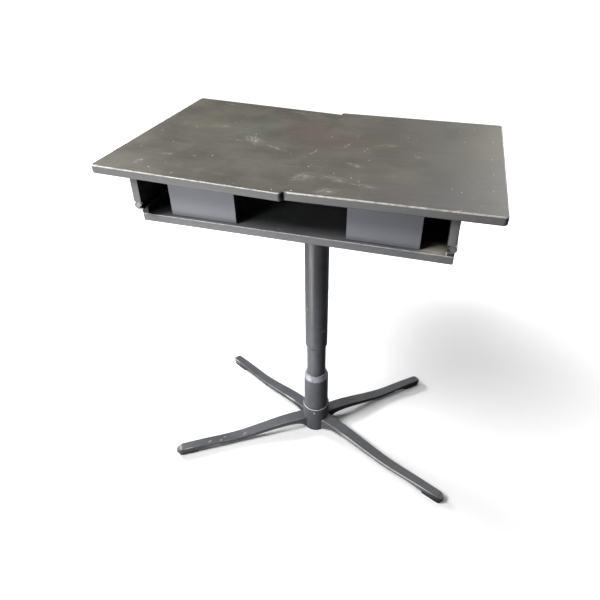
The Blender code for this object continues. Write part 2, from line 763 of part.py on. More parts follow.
def build_base(base_axis, metal, rubber, plastic, bright):
    """Hub, legs and pads, and the sleeve, ring, bushes and washer that the stem turns in."""
    hub = turned(
        "base_hub",
        [
            (0, HUB_BORE_FLOOR),
            (SOCKET_BORE, HUB_BORE_FLOOR),
            (SOCKET_BORE, HUB_TOP),
            (HUB_RADIUS - HUB_CHAMFER, HUB_TOP),
            (HUB_RADIUS, HUB_TOP - HUB_CHAMFER),
            (HUB_RADIUS, HUB_CHAMFER),
            (HUB_RADIUS - HUB_CHAMFER, 0),
            (0, 0),
        ],
        metal,
        base_axis,
    )
    pockets = bmesh.new()
    for place, reach, bearing in LEGS:
        angle = math.radians(bearing)
        build_leg(f"{place}_leg", reach, angle, base_axis, metal)
        build_pad(f"{place}_pad", reach, angle, base_axis, rubber)
        half = LEG_WIDTH / 2 + SEAT
        one = box_mesh(
            (LEG_ROOT - SEAT, -half, -LEG_WIDTH),
            (2 * HUB_RADIUS, half, LEG_ROOT_TOP + SEAT),
            bmesh.new(),
        )
        bmesh.ops.rotate(one, verts=one.verts, cent=(0, 0, 0), matrix=Matrix.Rotation(angle, 3, "Z"))
        spare = bpy.data.meshes.new("pocket")
        one.to_mesh(spare)
        one.free()
        pockets.from_mesh(spare)
        bpy.data.meshes.remove(spare)
    boolean(hub, add_piece("leg_pockets", pockets, None, base_axis), "DIFFERENCE")
    build_socket(base_axis, metal, plastic, bright)


def build_socket(base_axis, metal, plastic, bright):
    """The sleeve on the hub, its bright ring, and the bushes and washer inside."""
    sleeve_bottom = HUB_TOP + SEAT
    turned(
        "base_sleeve",
        tube_profile(SOCKET_BORE, SLEEVE_RADIUS, sleeve_bottom, SLEEVE_TOP),
        metal,
        base_axis,
    )
    ring_bottom = SLEEVE_TOP + SEAT
    ring_bore = STEM_RADIUS + RUN
    turned(
        "collar_ring",
        [
            (RING_TOP_RADIUS - RING_LIP, RING_TOP),
            (RING_TOP_RADIUS, RING_TOP - RING_LIP),
            (SLEEVE_RADIUS, ring_bottom + RING_FOOT),
            (SLEEVE_RADIUS, ring_bottom),
            (ring_bore, ring_bottom),
            (ring_bore, RING_TOP),
        ],
        bright,
        base_axis,
    )
    bush_outer = BUSH_BORE + BUSH_WALL
    for name, bottom, height in (
        ("lower_bush", WASHER_TOP + SEAT, LOWER_BUSH_HEIGHT),
        ("upper_bush", SLEEVE_TOP - UPPER_BUSH_HEIGHT, UPPER_BUSH_HEIGHT),
    ):
        turned(
            name,
            tube_profile(BUSH_BORE, bush_outer, bottom, bottom + height),
            plastic,
            base_axis,
            HIDDEN_SIDES,
        )
    turned(
        "thrust_washer",
        [
            (0, WASHER_TOP),
            (bush_outer, WASHER_TOP),
            (bush_outer, HUB_BORE_FLOOR + SEAT),
            (0, HUB_BORE_FLOOR + SEAT),
        ],
        plastic,
        base_axis,
        HIDDEN_SIDES,
    )


def main():
    clear_scene()
    top_board = finish("painted board, top", "4A4846", 0.42)
    tray_board = finish("painted board, tray", "55555A", 0.50)
    fascia_board = finish("painted board, fascia", "6A6A72", 0.50)
    dark_steel = finish("dark coated steel", "4A4B4E", 0.38, 0.3)
    bright_steel = finish("bright steel", "C9C9C6", 0.25, 1.0)
    plastic = finish("black plastic", "1C1C1E", 0.55)
    rubber = finish("dark rubber", "2B2B2D", 0.75)

    base_axis = axis_empty("base_axis", rotation=(0, 0, BASE_TURN))
    stem_axis = axis_empty("stem_axis", parent=base_axis)
    tray_axis = axis_empty("tray_axis", rotation=(0, 0, -BASE_TURN), parent=stem_axis)

    build_base(base_axis, dark_steel, rubber, plastic, bright_steel)
    tube = build_column(stem_axis, tray_axis, dark_steel, plastic, bright_steel)
    flange = build_flange(tray_axis, dark_steel)
    lever_axis = axis_empty("lever_axis", (LEVER_PIVOT_X, 0, LEVER_HEIGHT), parent=tray_axis)
    build_release(tray_axis, lever_axis, flange, tube, dark_steel, plastic)
    build_tray(tray_axis, tray_board, fascia_board)
    for side, sign, dip in (("left", -1, LEFT_DIP), ("right", 1, RIGHT_DIP)):
        place = (sign * HINGE_X, 0, HINGE_Z)
        hinge_axis = axis_empty(f"{side}_hinge_axis", place, (0, -sign * dip, 0), tray_axis)
        build_leaf(side, sign, dip, hinge_axis, top_board)
        build_hinge(side, sign, hinge_axis, tray_axis, bright_steel)


main()
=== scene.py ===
# %% [markdown]
# # A laptop desk, dressed
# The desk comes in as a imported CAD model: two hinged leaves over a shallow tray, on a telescopic swivel
# column with four curved legs. The shapes are already right, so this scene gives them what a photograph
# shows and a solid lacks: lacquer that has been wiped and scuffed, satin paint on steel, turned metal, the
# screws under the tray, and the light of a plain studio.

import json
import math

import bmesh
import bpy
from mathutils import Matrix, Vector


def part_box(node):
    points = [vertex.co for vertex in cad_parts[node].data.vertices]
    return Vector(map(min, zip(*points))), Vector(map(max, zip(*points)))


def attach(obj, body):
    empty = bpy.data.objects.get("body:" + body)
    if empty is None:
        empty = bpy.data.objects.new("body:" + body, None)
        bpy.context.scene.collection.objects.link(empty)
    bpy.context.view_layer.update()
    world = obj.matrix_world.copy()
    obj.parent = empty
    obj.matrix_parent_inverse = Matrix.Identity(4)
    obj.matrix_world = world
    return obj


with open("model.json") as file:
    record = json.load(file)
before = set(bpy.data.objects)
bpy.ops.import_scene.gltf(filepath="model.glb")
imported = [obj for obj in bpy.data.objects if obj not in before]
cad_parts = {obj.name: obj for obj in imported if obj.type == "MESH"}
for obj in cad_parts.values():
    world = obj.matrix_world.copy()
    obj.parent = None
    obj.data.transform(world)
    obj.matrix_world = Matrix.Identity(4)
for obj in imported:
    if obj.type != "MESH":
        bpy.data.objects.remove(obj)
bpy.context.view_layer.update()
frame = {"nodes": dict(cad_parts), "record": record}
nodes = frame["nodes"]

# %% [markdown]
# ## Colours and sizes
# Colours are picked as sRGB hex values, but Blender's shaders add up light, which is linear, so
# each hex value passes through one function. Patterns are sized in millimetres of the real surface, and a
# second function turns such a size into the scale that a texture node asks for.

# %% Colours and sizes
MM = 0.001


def linear(hex_colour):
    """The linear RGBA of an sRGB hex colour such as '#808080'."""
    channels = [int(hex_colour[i : i + 2], 16) / 255 for i in (1, 3, 5)]
    return [c / 12.92 if c <= 0.04045 else ((c + 0.055) / 1.055) ** 2.4 for c in channels] + [1.0]


def per_mm(size):
    """The texture scale at which one feature is this many millimetres wide."""
    return 1 / MM / size


print("mid grey #808080 is", round(linear("#808080")[0], 3), "in linear light")
print("a pattern of 2 mm has scale", per_mm(2))

# %% [markdown]
# ## One function for every node
# A material is a small graph of nodes. In code, each node has to be made, set and linked, which soon fills
# pages. One function does all three: it takes the inputs by name, and links a node or sets a number,
# whichever it is given. Two settings come up again and again, so they get names: a step with soft ends,
# and a mix of two colours.

# %% Nodes
SOFT = {"interpolation_type": "SMOOTHSTEP"}
MIXED = {"data_type": "RGBA"}


def first_shown(sockets, key):
    """A socket by its number, or the first one in use that has this name."""
    return sockets[key] if isinstance(key, int) else next(s for s in sockets if s.enabled and s.name == key)


def add_node(tree, kind, inputs, **settings):
    """Adds a shader node; an input takes a number, a hex colour, a socket, or a node (its first output)."""
    node = tree.nodes.new("ShaderNode" + kind)
    for name, value in settings.items():
        setattr(node, name, value)
    for key, value in inputs.items():
        socket = first_shown(node.inputs, key)
        if isinstance(value, str):
            value = linear(value)
        elif isinstance(value, bpy.types.Node):
            value = next(s for s in value.outputs if s.enabled)
        if isinstance(value, bpy.types.NodeSocket):
            tree.links.new(value, socket)
        else:
            socket.default_value = value
    return node


print("soft steps:", SOFT["interpolation_type"], "and mixes of colours:", MIXED["data_type"])

# %% [markdown]
# ## How a material starts and ends
# Every finish starts from a Principled shader and the desk's own coordinates. Those are metres in the CAD
# model's frame, so a pattern needs no unwrapping and a mark can be put where the photograph shows it. Every
# finish also ends alike, with a colour, a roughness and a relief that are linked to the shader.

# %% Materials
def new_material(name):
    """A material with its node tree, its Principled shader, and the texture coordinates."""
    material = bpy.data.materials.new(name)
    material.use_nodes = True
    tree = material.node_tree
    return material, tree, tree.nodes["Principled BSDF"], add_node(tree, "TexCoord", {})


def finish_shader(tree, shader, colour, roughness, normal):
    """Links the three textured inputs of a Principled shader."""
    tree.links.new(first_shown(colour.outputs, "Result"), shader.inputs["Base Color"])
    tree.links.new(roughness.outputs[0], shader.inputs["Roughness"])
    tree.links.new(normal.outputs[0], shader.inputs["Normal"])


# %% [markdown]
# ## Round things that look round
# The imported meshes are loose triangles, so a tube would show its flat facets. Three modifiers mend that
# without touching the mesh: Weld joins the triangles, Edge Split cuts them apart again where a real edge
# is sharp, and Weighted Normal lets the large flat faces keep their flat look while the small faces of
# the rounded edges turn smoothly between them.

# %% Smooth shading
WELD_DISTANCE = 0.00001
SHARP_ANGLE = math.radians(50)

for node in nodes.values():
    node.data.polygons.foreach_set("use_smooth", [True] * len(node.data.polygons))
    if "custom_normal" in node.data.attributes:
        node.data.attributes.remove(node.data.attributes["custom_normal"])
    weld = node.modifiers.new("Weld", "WELD")
    weld.merge_threshold = WELD_DISTANCE
    split = node.modifiers.new("Edge Split", "EDGE_SPLIT")
    split.split_angle = SHARP_ANGLE
    node.modifiers.new("Weighted Normal", "WEIGHTED_NORMAL")
print("smooth shading on", len(nodes), "nodes")

# %% [markdown]
# ## The camera
# The photograph was taken from the front, a little to the right, about a metre above the floor and
# looking down. A pinhole camera fitted to the edges of the top, the tray and the column gave the place,
# the lens and a slight roll. The small shift is there because the picture was cropped off centre.

# %% Camera
CAMERA_PLACE = Vector((0.22405, -0.82872, 1.04786))
CAMERA_TARGET = Vector((0.01743, 0.0, 0.41372))
CAMERA_ROLL = math.radians(1.01)
IMAGE_SIDE = 600
FOCAL_PIXELS = 497.02
AXIS_PIXEL = (324.62, 295.62)
SENSOR_WIDTH = 36.0

camera_data = bpy.data.cameras.new("camera")
camera_data.sensor_width = SENSOR_WIDTH
camera_data.lens = FOCAL_PIXELS / IMAGE_SIDE * SENSOR_WIDTH
camera_data.shift_x = (IMAGE_SIDE / 2 - AXIS_PIXEL[0]) / IMAGE_SIDE
camera_data.shift_y = (AXIS_PIXEL[1] - IMAGE_SIDE / 2) / IMAGE_SIDE
camera = bpy.data.objects.new("camera", camera_data)
aim = (CAMERA_TARGET - CAMERA_PLACE).to_track_quat("-Z", "Y").to_matrix().to_4x4()
camera.matrix_world = Matrix.Translation(CAMERA_PLACE) @ aim @ Matrix.Rotation(CAMERA_ROLL, 4, "Z")
bpy.context.scene.collection.objects.link(camera)
bpy.context.scene.camera = camera
shift = [round(camera_data.shift_x, 4), round(camera_data.shift_y, 4)]
print("lens", round(camera_data.lens, 2), "mm, shift", shift)

# %% [markdown]
# ## A white floor
# The photograph's ground is pure white, with soft grey shade only where the desk stands. The floor is a
# disc, grown from a small circle ring by ring. It isn't part of the desk.

# %% Floor
FLOOR_RADIUS = 2.4
FLOOR_RINGS = 12
FLOOR_SIDES = 96

floor_shape = bmesh.new()
bmesh.ops.create_circle(floor_shape, cap_ends=True, segments=FLOOR_SIDES, radius=FLOOR_RADIUS / FLOOR_RINGS)
outer = [e for e in floor_shape.edges if e.is_boundary]
for ring in range(2, FLOOR_RINGS + 1):
    grown = bmesh.ops.extrude_edge_only(floor_shape, edges=outer)["geom"]
    outer = [g for g in grown if isinstance(g, bmesh.types.BMEdge) and g.is_boundary]
    for vertex in {v for e in outer for v in e.verts}:
        vertex.co *= ring / (ring - 1)
floor_mesh = bpy.data.meshes.new("floor")
floor_shape.to_mesh(floor_mesh)
floor_shape.free()
floor = bpy.data.objects.new("floor", floor_mesh)
bpy.context.scene.collection.objects.link(floor)
print("floor of", len(floor_mesh.polygons), "faces, radius", FLOOR_RADIUS, "m")

# %% [markdown]
# ## Paper on the floor
# A paper sweep lit from behind grows brighter away from the desk. So the disc glows towards its rim, where
# it melts into the white world, and its middle still takes shadows. Paper also throws light back up at the
# desk. The colour it throws is painted lighter at the front left, as a painted pool of the key light that
# falls there. The Light Path node keeps the two apart: what the camera sees of the paper, and what the desk
# gets from it.

# %% Floor paper
WHITE = "#ffffff"
FLOOR_SEEN = "#f8f8f8"
DIM_PAPER = "#3e3e3e"
LIT_PAPER = "#b8b8b8"
LIT_SIDE = (-0.7, -0.7, 0.0)
LIT_STEP = {"From Min": -0.1, "From Max": 0.2}
PAPER_ROUGHNESS = 0.9
FLOOR_GLOW = 0.02
PURE_WHITE = 1.2  # a little over 1, so that it stays white after filtering
GLOW_RANGE = {"From Min": 0.30, "From Max": 1.42, "To Min": FLOOR_GLOW, "To Max": PURE_WHITE}

paper, tree, shader, place = new_material("matt white paper sweep")
shader.inputs["Roughness"].default_value = PAPER_ROUGHNESS
shader.inputs["Specular IOR Level"].default_value = 0.0
shader.inputs["Emission Color"].default_value = linear(WHITE)
away = add_node(tree, "VectorMath", {"Vector": place.outputs["Object"]}, operation="LENGTH")
glow = add_node(tree, "MapRange", {"Value": away.outputs["Value"], **GLOW_RANGE}, **SOFT)
seen = add_node(tree, "LightPath", {}).outputs["Is Camera Ray"]
# painted light: the paper's bounce colour is lighter towards the front left
along = add_node(tree, "VectorMath", {0: place.outputs["Object"], 1: LIT_SIDE}, operation="DOT_PRODUCT")
lit = add_node(tree, "MapRange", {"Value": along.outputs["Value"], **LIT_STEP})
bounce = add_node(tree, "Mix", {"Factor": lit, "A": DIM_PAPER, "B": LIT_PAPER}, **MIXED)
paper_colour = add_node(tree, "Mix", {"Factor": seen, "A": bounce, "B": FLOOR_SEEN}, **MIXED)
tree.links.new(first_shown(paper_colour.outputs, "Result"), shader.inputs["Base Color"])
strength = add_node(tree, "Math", {0: glow, 1: seen}, operation="MULTIPLY")
tree.links.new(strength.outputs[0], shader.inputs["Emission Strength"])
floor_mesh.materials.append(paper)
print("the paper turns white", GLOW_RANGE["From Max"], "m from the column")

# %% [markdown]
# ## Studio light
# The shadows in the photograph tell where the light is. The broad shade on the floor lies to the right and
# behind, so the key light stands high at the front left. The light on the tray floor fades from front to
# back, so a weak card stands on the same side, low enough to shine in under the leaves. The fascias are as
# bright as the edge of the top, though the top shades them, and the column has a soft highlight on its
# left. Both look down onto white paper that the key lights up, so a flat light lies on the floor there,
# with a small one above it that serves the lower column. Two legs have their shadows on the viewer's
# side, so a weaker window stands at the rear left. A large soft ceiling fills the rear legs and the top,
# and a narrow light at the rear right gives the lacquer its sheen. A faint fill keeps the right side,
# which the photograph hardly shows, from going black.

# %% Lights
# Each light has its name, its place, its target, its width in metres, its watts and its spread in degrees.
LIGHTS = (
    ("key soft box", (-1.18, -0.90, 2.08), (0.0, 0.0, 0.70), 0.85, 23.0, 110),
    ("lit paper at the front left", (-0.46, -0.56, 0.006), (-0.36, -0.45, 0.60), 0.76, 12.5, 180),
    ("low card at the front left", (-0.30, -0.46, 0.07), (0.0, 0.0, 0.17), 0.20, 0.30, 60),
    ("card before the tray", (-0.62, -0.98, 1.00), (0.0, -0.10, 0.66), 0.35, 0.50, 60),
    ("rear left window", (-1.50, 0.50, 1.20), (0.0, 0.0, 0.03), 0.45, 9.0, 100),
    ("rear ceiling", (0.30, 1.40, 2.50), (0.0, 0.10, 0.40), 1.80, 13.0, 180),
    ("rear sheen", (0.90, 1.80, 1.35), (0.20, 0.05, 0.74), 0.80, 1.4, 44),
    ("right fill", (1.45, 1.00, 0.45), (0.0, 0.0, 0.66), 0.80, 1.0, 70),
)

for name, spot, target, width, power, spread in LIGHTS:
    lamp_data = bpy.data.lights.new(name, "AREA")
    lamp_data.shape = "DISK"
    lamp_data.size = width
    lamp_data.energy = power
    lamp_data.spread = math.radians(spread)
    lamp = bpy.data.objects.new(name, lamp_data)
    lamp.location = spot
    lamp.rotation_euler = (Vector(target) - Vector(spot)).to_track_quat("-Z", "Y").to_euler()
    lamp.visible_camera = False
    bpy.context.scene.collection.objects.link(lamp)
print(len(LIGHTS), "lights of", round(sum(light[4] for light in LIGHTS), 1), "watts in all")

# %% [markdown]
# ## White all round
# The world is pure white to the camera alone, and adds only a trace of light, so that the lights above
# shape the desk. The Standard view transform shows white as white, where a filmic one would grey it.

# %% World
WORLD_FILL = 0.03

world = bpy.data.worlds.new("white studio")
world.use_nodes = True
bpy.context.scene.world = world
tree = world.node_tree
seen = add_node(tree, "LightPath", {}).outputs["Is Camera Ray"]
brightness = add_node(tree, "MapRange", {"Value": seen, "To Min": WORLD_FILL, "To Max": PURE_WHITE})
tree.nodes["Background"].inputs["Color"].default_value = linear(WHITE)
tree.links.new(brightness.outputs[0], tree.nodes["Background"].inputs["Strength"])
bpy.context.scene.view_settings.view_transform = "Standard"
print("the world gives", WORLD_FILL, "of white")

# %% [markdown]
# ## Marks in their places
# Some wear has a place that the photograph shows, such as one scuff on the left leaf. An image could carry
# it, but nodes stay sharp at any distance. A Mapping node in texture mode turns the desk's coordinates into
# the mark's own, which are 1 at its rim. The distance from its middle then gives a soft round patch, or a
# crisp square one, and a noise drawn out along it gives the thin strokes that a scuff is made of.

# %% Marks
RIM_TO_CORE = {"From Min": 1.0, "From Max": 0.2}
CRISP_RIM = {"From Min": 1.0, "From Max": 0.92}
STROKE_BREAKS = 1.6  # how often a stroke is broken along half its mark
STROKE_STEP = {"From Min": 0.49, "From Max": 0.66, "To Min": 0.05, "To Max": 1.0}


def mark(tree, spot, centre, size, turn=0.0):
    """A mark's own coordinates and its fade from rim to middle; centre and size are in millimetres."""
    own_frame = {
        "Vector": spot,
        "Location": [c * MM for c in centre],
        "Rotation": (0, 0, math.radians(turn)),
        "Scale": [s / 2 * MM for s in size],
    }
    own = add_node(tree, "Mapping", own_frame, vector_type="TEXTURE")
    reach = add_node(tree, "VectorMath", {"Vector": own}, operation="LENGTH").outputs["Value"]
    return own, add_node(tree, "MapRange", {"Value": reach, **RIM_TO_CORE}, **SOFT)


def squared(tree, own):
    """The same mark with square corners and a crisp rim."""
    positive = add_node(tree, "VectorMath", {"Vector": own}, operation="ABSOLUTE")
    axes = add_node(tree, "SeparateXYZ", {"Vector": positive}).outputs
    widest = add_node(tree, "Math", {0: axes["X"], 1: axes["Y"]}, operation="MAXIMUM")
    reach = add_node(tree, "Math", {0: widest, 1: axes["Z"]}, operation="MAXIMUM")
    return add_node(tree, "MapRange", {"Value": reach, **CRISP_RIM})


def strokes(tree, own, count):
    """Thin broken lines along a mark, about this many side by side."""
    drawn = add_node(tree, "VectorMath", {0: own, 1: (STROKE_BREAKS, count / 2, 1.0)}, operation="MULTIPLY")
    noise = add_node(tree, "TexNoise", {"Vector": drawn, "Scale": 1.0, "Detail": 4.0, "Distortion": 0.6})
    return add_node(tree, "MapRange", {"Value": noise, **STROKE_STEP}, **SOFT)


print("a mark is full from", RIM_TO_CORE["From Max"], "of its half width inwards")

# %% [markdown]
# ## Specks, lines and arrises
# Other wear is everywhere. Specks of dust and tiny chips come from a cell texture, where only some of the
# cells hold a dot. Wipe streaks and hair scratches are a noise drawn out into lines. Rubbed edges could be
# painted by hand, but the surface's own direction finds them: an eased upper edge, which a joiner calls an
# arris, looks neither straight up nor sideways. The pale line on an arris is partly wear and partly a painted
# highlight, where light catches the edge.

# %% Specks and arrises
LINE_DEPTH = 30
DOT_RIM = (1.2, 0.8)
BELOW_TOP = {"From Min": 0.98, "From Max": 0.90}
ABOVE_SIDE = {"From Min": 0.15, "From Max": 0.40}


def drawn_out(tree, spot, turn, length, width, detail):
    """A noise drawn out into lines at an angle; their length and width are in millimetres."""
    size = (length * MM, width * MM, LINE_DEPTH * MM)
    stretch = {"Vector": spot, "Rotation": (0, 0, math.radians(turn)), "Scale": size}
    lines = add_node(tree, "Mapping", stretch, vector_type="TEXTURE")
    return add_node(tree, "TexNoise", {"Vector": lines, "Scale": 1.0, "Detail": detail, "Roughness": 0.7})


def specks(tree, spot, spacing, size, share):
    """Dots of a size, in a share of the cells of a spacing, both in millimetres."""
    cells = add_node(tree, "TexVoronoi", {"Vector": spot, "Scale": per_mm(spacing)})
    start, end = [soft * (size / 2 / spacing) for soft in DOT_RIM]
    dot = add_node(tree, "MapRange", {"Value": cells, "From Min": start, "From Max": end})
    chance = add_node(tree, "SeparateColor", {"Color": cells.outputs["Color"]})
    chosen = add_node(tree, "Math", {0: chance, 1: 1 - share}, operation="GREATER_THAN")
    return add_node(tree, "Math", {0: dot, 1: chosen}, operation="MULTIPLY")


def upper_arris(tree, normal):
    """1 on eased upper edges and 0 on faces: there the surface looks neither up nor sideways."""
    up = add_node(tree, "SeparateXYZ", {"Vector": normal}).outputs["Z"]
    not_top = add_node(tree, "MapRange", {"Value": up, **BELOW_TOP}, **SOFT)
    not_side = add_node(tree, "MapRange", {"Value": up, **ABOVE_SIDE}, **SOFT)
    return add_node(tree, "Math", {0: not_top, 1: not_side}, operation="MULTIPLY")


steepest = round(math.degrees(math.acos(ABOVE_SIDE["From Min"])))
print("an arris leans up to", steepest, "degrees from level")

# %% [markdown]
# ## The tone of lacquered board
# The leaves, the tray and the fascias are board with a sprayed grey lacquer, thin enough to follow the
# board and with a low sheen. One function will make all three, so that they look like one maker's work, and
# it is built up from smaller ones, a layer at a time. First comes the tone. It drifts over a hand's
# breadth, some patches have another hue, and wiping has left fine streaks along the length.

# %% Board tone
CLOUD_SIZE = 80
CLOUD_STEP = {"From Min": 0.36, "From Max": 0.66}
BROKEN_UP = 0.65  # the noise's own roughness, which breaks large clouds up finely
STREAK_TURN = 3
STREAK_LENGTH = 90
STREAK_WIDTH = 2.0
STREAK_STEP = {"From Min": 0.45, "From Max": 0.85, "To Max": 0.09}


def board_tone(tree, spot, colours, tints):
    """Clouds of two tones, patches of another hue, and wipe streaks along the board."""
    drift = {"Vector": spot, "Scale": per_mm(CLOUD_SIZE), "Detail": 6.0, "Roughness": BROKEN_UP}
    clouds = add_node(tree, "TexNoise", drift)
    clouded = add_node(tree, "MapRange", {"Value": clouds, **CLOUD_STEP}, **SOFT)
    colour = add_node(tree, "Mix", {"Factor": clouded, "A": colours["face"], "B": colours["cloud"]}, **MIXED)
    for centre, size, turn, tint, strength in tints:
        fade = mark(tree, spot, centre, size, turn)[1]
        uneven = add_node(tree, "Math", {0: clouds, 1: 2 * strength}, operation="MULTIPLY")
        factor = add_node(tree, "Math", {0: fade, 1: uneven}, operation="MULTIPLY", use_clamp=True)
        colour = add_node(tree, "Mix", {"Factor": factor, "A": colour, "B": tint}, **MIXED)
    streaks = drawn_out(tree, spot, STREAK_TURN, STREAK_LENGTH, STREAK_WIDTH, 5.0)
    wiped = add_node(tree, "MapRange", {"Value": streaks, **STREAK_STEP}, **SOFT)
    return clouds, add_node(tree, "Mix", {"Factor": wiped, "A": colour, "B": colours["rubbed_and_highlight"]}, **MIXED)


print("board tone: clouds of", CLOUD_SIZE, "mm, streaks of", STREAK_WIDTH, "mm")

# %% [markdown]
# ## Scratches, specks and scuffs
# Use has rubbed the lacquer pale in hair scratches, specks and scuffs. Real hair scratches and dust are finer
# than a pixel here, so they are drawn as coarse as they need to be to show. Each scuff is a bundle of strokes
# that fades towards its rim.

# %% Board marks
HAIR_TURN = -32
HAIR_LENGTH = 26
HAIR_WIDTH = 0.7
HAIR_STEP = {"From Min": 0.72, "From Max": 0.80, "To Max": 0.35}
SPECK_SPACING = 15
SPECK_SIZE = 2.0
SPECK_SHARE = 0.4
STROKE_SPACING = 2.2
SCUFF_PALENESS = 0.8


def board_marks(tree, spot, scuffs):
    """The hair scratches, and how far the lacquer is worn pale by them, by specks and by scuffs."""
    hairs = drawn_out(tree, spot, HAIR_TURN, HAIR_LENGTH, HAIR_WIDTH, 1.0)
    light = add_node(tree, "MapRange", {"Value": hairs, **HAIR_STEP}, **SOFT)
    dust = specks(tree, spot, SPECK_SPACING, SPECK_SIZE, SPECK_SHARE)
    light = add_node(tree, "Math", {0: light, 1: dust}, operation="MAXIMUM")
    for centre, size, turn, strength in scuffs:
        own, fade = mark(tree, spot, centre, size, turn)
        lines = strokes(tree, own, size[1] / STROKE_SPACING)
        lines = add_node(tree, "Math", {0: lines, 1: SCUFF_PALENESS * strength}, operation="MULTIPLY")
        scuffed = add_node(tree, "Math", {0: fade, 1: lines}, operation="MULTIPLY")
        light = add_node(tree, "Math", {0: light, 1: scuffed}, operation="MAXIMUM")
    return hairs, light


print("board marks: hairs", HAIR_WIDTH, "mm, specks", SPECK_SIZE, "mm, strokes", STROKE_SPACING, "mm")

# %% [markdown]
# ## Edges of the board
# The edges are a lighter and cooler grey. The undersides, and the faces that look into the tray, are painted
# near black as painted shade, which is why the openings look black. Every upper arris is mixed to a thin
# broken pale line, partly wear and partly painted highlight. A material can tell these apart by the way the
# surface
# looks, which is its normal: sideways, down, towards the middle of the desk, or in between.

# %% Board edges
# near black, for painted shade on undersides and on faces that look into the tray
PAINTED_SHADE_DARK = "#161617"
NOISE_RANGE = {"From Min": 0.3, "From Max": 0.7}  # nearly all of a noise lies in here
EDGE_COVER = {"To Min": 1.0, "To Max": 0.8}
SIDE_STEP = {"From Min": 0.60, "From Max": 0.30}
UNDER_STEP = {"From Min": -0.6, "From Max": -0.9}
INSIDE_STEP = {"From Min": -0.04, "From Max": -0.08}
NICK_SIZE = 9
NICK_STEP = {"From Min": 0.36, "From Max": 0.56, "To Min": 0.38, "To Max": 0.78}


def board_edges(tree, place, clouds, colour, colours):
    """Adds the lighter edges, painted shade on undersides and inward faces, and pale arrises of wear and
    highlight.
    """
    faces = add_node(tree, "SeparateXYZ", {"Vector": place.outputs["Normal"]}).outputs
    tilt = add_node(tree, "Math", {0: faces["Z"]}, operation="ABSOLUTE")
    side = add_node(tree, "MapRange", {"Value": tilt, **SIDE_STEP}, **SOFT)
    mottled = add_node(tree, "MapRange", {"Value": clouds, **NOISE_RANGE, **EDGE_COVER})
    cool = add_node(tree, "Math", {0: side, 1: mottled}, operation="MULTIPLY")
    colour = add_node(tree, "Mix", {"Factor": cool, "A": colour, "B": colours["edge"]}, **MIXED)

    # painted shade: faces that look down or into the tray go near black
    under = add_node(tree, "MapRange", {"Value": faces["Z"], **UNDER_STEP}, **SOFT)
    across = add_node(tree, "SeparateXYZ", {"Vector": place.outputs["Object"]}).outputs["X"]
    outward = add_node(tree, "Math", {0: faces["X"], 1: across}, operation="MULTIPLY")
    inside = add_node(tree, "MapRange", {"Value": outward, **INSIDE_STEP})
    painted_shade = add_node(tree, "Math", {0: under, 1: inside}, operation="MAXIMUM")
    colour = add_node(tree, "Mix", {"Factor": painted_shade, "A": colour, "B": PAINTED_SHADE_DARK}, **MIXED)

    fine = {"Vector": place.outputs["Object"], "Scale": per_mm(NICK_SIZE), "Detail": 3.0}
    broken = add_node(tree, "MapRange", {"Value": add_node(tree, "TexNoise", fine), **NICK_STEP}, **SOFT)
    # painted highlight and wear: the upper arrises are mixed towards the pale colour
    arris = upper_arris(tree, place.outputs["Normal"])
    worn = add_node(tree, "Math", {0: arris, 1: broken}, operation="MULTIPLY")
    return add_node(tree, "Mix", {"Factor": worn, "A": colour, "B": colours["rubbed_and_highlight"]}, **MIXED)


print("board edges: backing", PAINTED_SHADE_DARK, "and nicks of", NICK_SIZE, "mm")

# %% [markdown]
# ## The whole lacquer
# Now the layers go together: the tone, the marks, the edges, and last the stains and the patches of painted
# shade and highlight that cover all of them.
# Sprayed lacquer is a clear binder with pigment, so its IOR is that of most varnishes. It shines unevenly,
# and its relief is a faint ripple of the spray with the hair scratches in it.

# %% Lacquered board
LACQUER_IOR = 1.5
LACQUER_UNEVEN = 0.14
LACQUER_RIPPLE = 2.5
LACQUER_RELIEF = {"Strength": 0.10, "Distance": 0.2 * MM}


def lacquered_board(name, colours, roughness, tints=(), scuffs=(), stains_and_shade=()):
    """Sprayed lacquer on board, from its tone to its edges, with a faint ripple."""
    material, tree, shader, place = new_material(name)
    spot = place.outputs["Object"]
    clouds, colour = board_tone(tree, spot, colours, tints)
    hairs, light = board_marks(tree, spot, scuffs)
    colour = add_node(tree, "Mix", {"Factor": light, "A": colour, "B": colours["rubbed_and_highlight"]}, **MIXED)
    colour = board_edges(tree, place, clouds, colour, colours)
    # stains, and patches of painted shade and painted highlight, cover all the rest
    for centre, size, cover_colour, square in stains_and_shade:
        own, fade = mark(tree, spot, centre, size)
        factor = squared(tree, own) if square else fade
        colour = add_node(tree, "Mix", {"Factor": factor, "A": colour, "B": cover_colour}, **MIXED)
    sheen = {"To Min": roughness, "To Max": roughness + LACQUER_UNEVEN}
    rough = add_node(tree, "MapRange", {"Value": clouds, **NOISE_RANGE, **sheen})
    ripple = add_node(tree, "TexNoise", {"Vector": spot, "Scale": per_mm(LACQUER_RIPPLE), "Detail": 2.0})
    height = add_node(tree, "Math", {0: hairs, 1: ripple}, operation="ADD")
    bump = add_node(tree, "Bump", {"Height": height, **LACQUER_RELIEF})
    shader.inputs["IOR"].default_value = LACQUER_IOR
    finish_shader(tree, shader, colour, rough, bump)
    return material


print("lacquer: IOR", LACQUER_IOR, "and a ripple of", LACQUER_RIPPLE, "mm")

# %% [markdown]
# ## The top
# The top has the darkest and warmest lacquer and most of the wear: scuffs made of many thin strokes, a
# reddish stain behind the middle, and patches that have gone greenish or olive. Their places were read off
# the photograph and carried onto the leaves, in millimetres from the column. Dirt has filled the joint. The
# notch where the leaves meet at the front is painted near black as painted shade, and so is a patch low on
# the front of the right end panel. To the eye that is a dull, tired surface that still has a low sheen where
# the light grazes it.

# %% Top
BOARD_ROUGHNESS = 0.46
LEAF_LEVEL = 741
THROUGH = 60  # a mark's height, so that it reaches a leaf's whole dip
BROWN = "#51433b"
